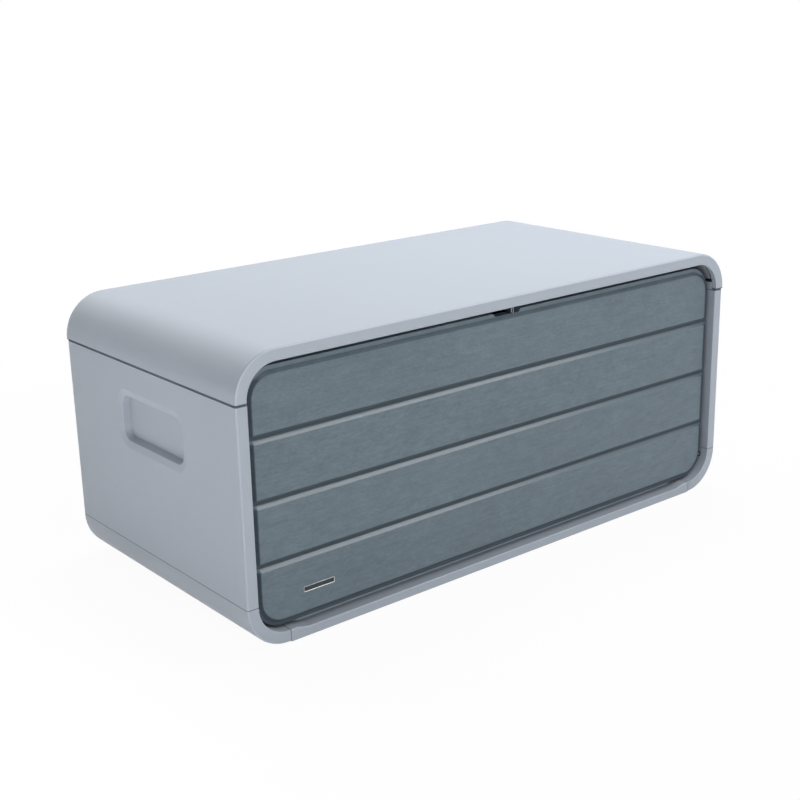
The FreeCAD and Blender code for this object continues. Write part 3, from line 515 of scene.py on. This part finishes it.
zinc = plated_steel("galvanised_steel", (0.60, 0.61, 0.62), 0.38, 0.002, spangle=0.35)
stainless = plated_steel("stainless_steel", (0.66, 0.66, 0.65), 0.28, 0.0006, stretch=(1, 1, 0.08))
rubber = moulded_plastic("black_rubber", (0.022, 0.022, 0.024), 0.68, 0.0012, 0.00015, drift=0.10,
                         edge=0.10)
bush_plastic = moulded_plastic("bush_plastic", (0.03, 0.031, 0.034), 0.35, 0.001, 0.00005, drift=0.05)
badge_field = moulded_plastic("badge_field", (0.020, 0.024, 0.028), 0.22, 0.0015, 0.00003, drift=0.06,
                              edge=0.10)
badge_rim = plated_steel("badge_rim", (0.55, 0.57, 0.60), 0.30, 0.0008, stretch=(0.08, 1, 1))
tab_steel = plated_steel("tab_steel", (0.30, 0.32, 0.34), 0.42, 0.0006, stretch=(1, 1, 0.08))

# %% [markdown]
# ## Dress the imported pieces
#
# The record says which finish each piece has, so one loop gives every imported piece its material. The
# lid's shell, the body and the door differ in grain. The back panel is planked like the door, so it
# takes the door's slate. The lid's liner and the posts take a darker copy of the pale grey, a painted
# shade for the inside of the box and the gaps beside the door.

# %% Give each node its finish
by_slot = {"lid_plastic": lid_plastic, "body_plastic": body_plastic, "door_plastic": door_plastic,
           "bush_plastic": bush_plastic, "badge_plastic": badge_field, "black_rubber": rubber,
           "galvanised_steel": zinc, "stainless_steel": stainless}
slot_of = {row["node"]: row["material_slot"] for row in frame["record"]["subparts"]}
by_name = {"lid_inner_liner": inner_plastic, "back_panel": door_plastic, "door_inner_panel": door_inside,
           "lid_lock_tab": tab_steel, "door_lock_tab": tab_steel,
           "left_front_post": inner_plastic, "right_front_post": inner_plastic,
           "left_rear_post": inner_plastic, "right_rear_post": inner_plastic}
for name, piece in nodes.items():
    piece.data.materials.clear()
    piece.data.materials.append(by_name.get(name, by_slot[slot_of[name]]))
print("dressed:", len(nodes))

# %% [markdown]
# ## The screws
#
# Pan-head screws hold the skins, the posts, the hinges and the tabs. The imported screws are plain, and
# a real head has a rounded rim and a cross recess that narrows downwards. One screw is modelled at the
# origin with its head up. A cylinder is only the start: its rim is bevelled, its shank is drawn out of
# its underside, and a tapered cross is cut out of its top.

# %% Select parts in edit mode
def select_where(piece, kind, wanted):
    """In edit mode, select only the vertices, edges or faces that pass a test."""
    bpy.ops.mesh.select_mode(type=kind)
    bpy.ops.mesh.select_all(action="DESELECT")
    shape = bmesh.from_edit_mesh(piece.data)
    for part in {"VERT": shape.verts, "EDGE": shape.edges, "FACE": shape.faces}[kind]:
        if wanted(part):
            part.select_set(True)
    bmesh.update_edit_mesh(piece.data)


# %% Model one screw
head_radius = 0.0045
head_height = 0.0024
head_round = 0.0012
shank_radius = 0.0020
shank_length = 0.008

deselect()
bpy.ops.mesh.primitive_cylinder_add(vertices=24, radius=head_radius, depth=head_height,
                                    location=(0, 0, -head_height / 2))
screw = bpy.context.object
screw.name = "one_screw"
bpy.ops.object.transform_apply(location=True, rotation=True, scale=True)
bpy.ops.object.mode_set(mode="EDIT")
select_where(screw, "EDGE", lambda edge: all(vertex.co.z > -1e-6 for vertex in edge.verts))
bpy.ops.mesh.bevel(offset=head_round, segments=3, affect="EDGES")
select_where(screw, "FACE", lambda face: face.normal.z < -0.9)
bpy.ops.mesh.inset(thickness=head_radius - shank_radius)
bpy.ops.mesh.extrude_region_move(TRANSFORM_OT_translate={"value": (0, 0, -shank_length)})
bpy.ops.mesh.extrude_region_move(TRANSFORM_OT_translate={"value": (0, 0, -0.001)})
bpy.ops.transform.resize(value=(0.5, 0.5, 1))
bpy.ops.object.mode_set(mode="OBJECT")
print("screw before its recess:", len(screw.data.polygons), "faces")

# %% Cut the cross recess
recess_width = 0.0011
recess_arm = 0.0010
recess_depth = 0.0015

deselect()
bpy.ops.mesh.primitive_cube_add(size=recess_width)
cutter = bpy.context.object
bpy.ops.object.mode_set(mode="EDIT")
select_where(cutter, "FACE", lambda face: abs(face.normal.z) < 0.1)
bpy.ops.mesh.extrude_faces_move(TRANSFORM_OT_shrink_fatten={"value": recess_arm})
bpy.ops.mesh.select_all(action="SELECT")
bpy.ops.transform.resize(value=(1, 1, 2 * recess_depth / recess_width))
select_where(cutter, "VERT", lambda vertex: vertex.co.z < 0)
bpy.ops.transform.resize(value=(0.55, 0.55, 1))
bpy.ops.mesh.select_all(action="SELECT")
bpy.ops.mesh.normals_make_consistent(inside=False)
bpy.ops.object.mode_set(mode="OBJECT")

deselect()
screw.select_set(True)
bpy.context.view_layer.objects.active = screw
cut = screw.modifiers.new("recess", "BOOLEAN")
cut.operation = "DIFFERENCE"
cut.solver = "EXACT"
cut.object = cutter
bpy.ops.object.modifier_apply(modifier="recess")
bpy.data.objects.remove(cutter)
bpy.ops.object.shade_smooth_by_angle(angle=math.radians(35))
print("screw with its recess:", len(screw.data.polygons), "faces")

# %% [markdown]
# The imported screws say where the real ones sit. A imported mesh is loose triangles, so a copy of it is
# merged and split into its separate screws. Each one's longest side gives its axis, and the wider end is
# the head. Each screw is turned further than the one before, as hand-driven screws are.

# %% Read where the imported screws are
def split_copy(name):
    """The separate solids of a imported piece, as merged copies."""
    copy = nodes[name].copy()
    copy.data = copy.data.copy()
    bpy.context.collection.objects.link(copy)
    deselect()
    copy.select_set(True)
    bpy.context.view_layer.objects.active = copy
    bpy.ops.object.mode_set(mode="EDIT")
    bpy.ops.mesh.select_all(action="SELECT")
    bpy.ops.mesh.remove_doubles(threshold=0.000001)
    bpy.ops.mesh.separate(type="LOOSE")
    bpy.ops.object.mode_set(mode="OBJECT")
    return list(bpy.context.selected_objects)


def width_at(points, axis, level):
    """How wide a screw is near one end."""
    near = [point for point in points if abs(point[axis] - level) < 0.0015]
    across = (axis + 1) % 3
    return max(point[across] for point in near) - min(point[across] for point in near)


def head_places(name):
    """Each screw's head middle, the way its head looks, and its length."""
    places = []
    for solid in split_copy(name):
        points = [vertex.co.copy() for vertex in solid.data.vertices]
        low = Vector([min(point[axis] for point in points) for axis in range(3)])
        high = Vector([max(point[axis] for point in points) for axis in range(3)])
        axis = max(range(3), key=lambda k: high[k] - low[k])
        up_end = width_at(points, axis, high[axis]) > width_at(points, axis, low[axis])
        outward = Vector([0, 0, 0])
        outward[axis] = 1 if up_end else -1
        middle = (low + high) / 2
        middle[axis] = high[axis] if up_end else low[axis]
        places.append((middle, outward, high[axis] - low[axis]))
        bpy.data.objects.remove(solid)
    return sorted(places, key=lambda place: tuple(round(v, 4) for v in place[0]))


# %% Set the screws
def set_screws(name):
    """Copy the screw to each place of a packed screw piece, and join the copies."""
    copies = []
    for count, (middle, outward, length) in enumerate(head_places(name)):
        copy = screw.copy()
        copy.data = screw.data.copy()
        bpy.context.collection.objects.link(copy)
        for vertex in copy.data.vertices:
            if vertex.co.z < -head_height - 0.001:
                vertex.co.z -= length - head_height - shank_length - 0.001
        face_out = outward.to_track_quat("Z", "Y").to_matrix().to_4x4()
        copy.data.transform(Matrix.Translation(middle) @ face_out @ Matrix.Rotation(2.4 * count, 4, "Z"))
        copies.append(copy)
    deselect()
    for copy in copies:
        copy.select_set(True)
    bpy.context.view_layer.objects.active = copies[0]
    bpy.ops.object.join()
    joined = bpy.context.object
    joined.name = name.replace("screws", "cross_screws")
    joined.data.materials.append(stainless)
    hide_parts(name)
    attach(joined, body_of[name])
    return len(copies)


screw_count = sum(set_screws(name) for name in sorted(nodes) if name.endswith("screws"))
bpy.data.objects.remove(screw)
print("screws set:", screw_count)

# %% [markdown]
# ## The badge plate
#
# A small plate sits on the lowest plank, near its left end. It stays blank. A real one is a pressed
# plate: rounded corners, a raised pale rim and a sunk dark field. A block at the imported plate's place
# gets bevelled corners, and its front is inset three times, the last time with a step inwards.

# %% Model the badge plate
badge_corner = 0.0022
badge_step = 0.0003
badge_rim_width = 0.0007
badge_sink = 0.0005

low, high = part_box("door_badge_plate")
deselect()
bpy.ops.mesh.primitive_cube_add(size=1, location=(low + high) / 2, scale=high - low)
badge = bpy.context.object
badge.name = "blank_badge_plate"
bpy.ops.object.transform_apply(location=True, rotation=True, scale=True)
badge.data.materials.append(badge_rim)
badge.data.materials.append(badge_field)
bpy.ops.object.mode_set(mode="EDIT")
select_where(badge, "EDGE", lambda edge: abs(edge.verts[0].co.y - edge.verts[1].co.y) > 0.001)
bpy.ops.mesh.bevel(offset=badge_corner, segments=4, affect="EDGES")
select_where(badge, "FACE", lambda face: face.normal.y < -0.9)
bpy.ops.mesh.inset(thickness=badge_step, depth=0.0)
bpy.ops.mesh.inset(thickness=badge_rim_width, depth=0.0)
bpy.ops.mesh.inset(thickness=badge_step, depth=-badge_sink)
badge.active_material_index = 1
bpy.ops.object.material_slot_assign()
bpy.ops.object.mode_set(mode="OBJECT")
bpy.ops.object.shade_smooth_by_angle(angle=math.radians(35))
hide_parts("door_badge_plate")
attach(badge, "door")
print("badge plate:", [round(v * 1000, 1) for v in high - low], "mm")

# %% [markdown]
# ## Moulded fields on the inner faces
#
# Large flat skins of such a box are stiffened by shallow raised fields with round corners. They
# show when the lid or the door is open. One field is a block whose four upright edges are rounded and
# whose top edge is bevelled. Fields stand in rows on the door's inner skin between its screws, on the
# underside of the lid's liner, and as long bars on the floor that keep the goods off the wet.

# %% One raised field
def raised_field(middle, size, outward, height, corner):
    """A shallow block with round corners that stands on a skin at a point and looks outward."""
    deselect()
    bpy.ops.mesh.primitive_cube_add(size=1, scale=(size[0], size[1], height),
                                    location=(0, 0, height / 2))
    made = bpy.context.object
    bpy.ops.object.transform_apply(location=True, rotation=True, scale=True)
    bpy.ops.object.mode_set(mode="EDIT")
    select_where(made, "EDGE", lambda edge: abs(edge.verts[0].co.z - edge.verts[1].co.z) > height / 2)
    bpy.ops.mesh.bevel(offset=corner, segments=6, affect="EDGES")
    select_where(made, "EDGE", lambda edge: all(vertex.co.z > height * 0.9 for vertex in edge.verts))
    bpy.ops.mesh.bevel(offset=height * 0.8, segments=2, affect="EDGES")
    bpy.ops.object.mode_set(mode="OBJECT")
    face_out = outward.to_track_quat("Z", "Y").to_matrix().to_4x4()
    made.data.transform(Matrix.Translation(middle) @ face_out)
    return made


def join_fields(name, fields, body, finish):
    """Join fields into one piece that rides on a body."""
    deselect()
    for field in fields:
        field.select_set(True)
    bpy.context.view_layer.objects.active = fields[0]
    bpy.ops.object.join()
    joined = bpy.context.object
    joined.name = name
    joined.data.materials.append(finish)
    bpy.ops.object.shade_smooth_by_angle(angle=math.radians(50))
    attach(joined, body)
    print(name, len(fields), "fields")


# %% Fields on the door, the lid and the floor
field_height = 0.0012
bar_height = 0.0010
bar_pitch = 0.14
field_columns = (-0.48, -0.16, 0.16, 0.48)
door_rows = (0.2155, 0.4285)

inner_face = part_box("door_inner_panel")[1].y
door_fields = [raised_field(Vector((x, inner_face, z)), (0.262, 0.165), Vector((0, 1, 0)),
                            field_height, 0.018)
               for x in field_columns for z in door_rows]
join_fields("door_inner_fields", door_fields, "door", door_inside)

liner_face = 0.624
lid_fields = [raised_field(Vector((x, -0.005, liner_face)), (0.285, 0.53), Vector((0, 0, -1)),
                           field_height, 0.03)
              for x in field_columns]
join_fields("lid_liner_fields", lid_fields, "lid", inner_plastic)

floor_face = 0.028
bars = [raised_field(Vector((x, 0.0, floor_face)), (0.045, 0.54), Vector((0, 0, 1)), bar_height, 0.02)
        for x in [-0.56 + bar_pitch * k for k in range(9)]]
join_fields("floor_bars", bars, "box", body_plastic)
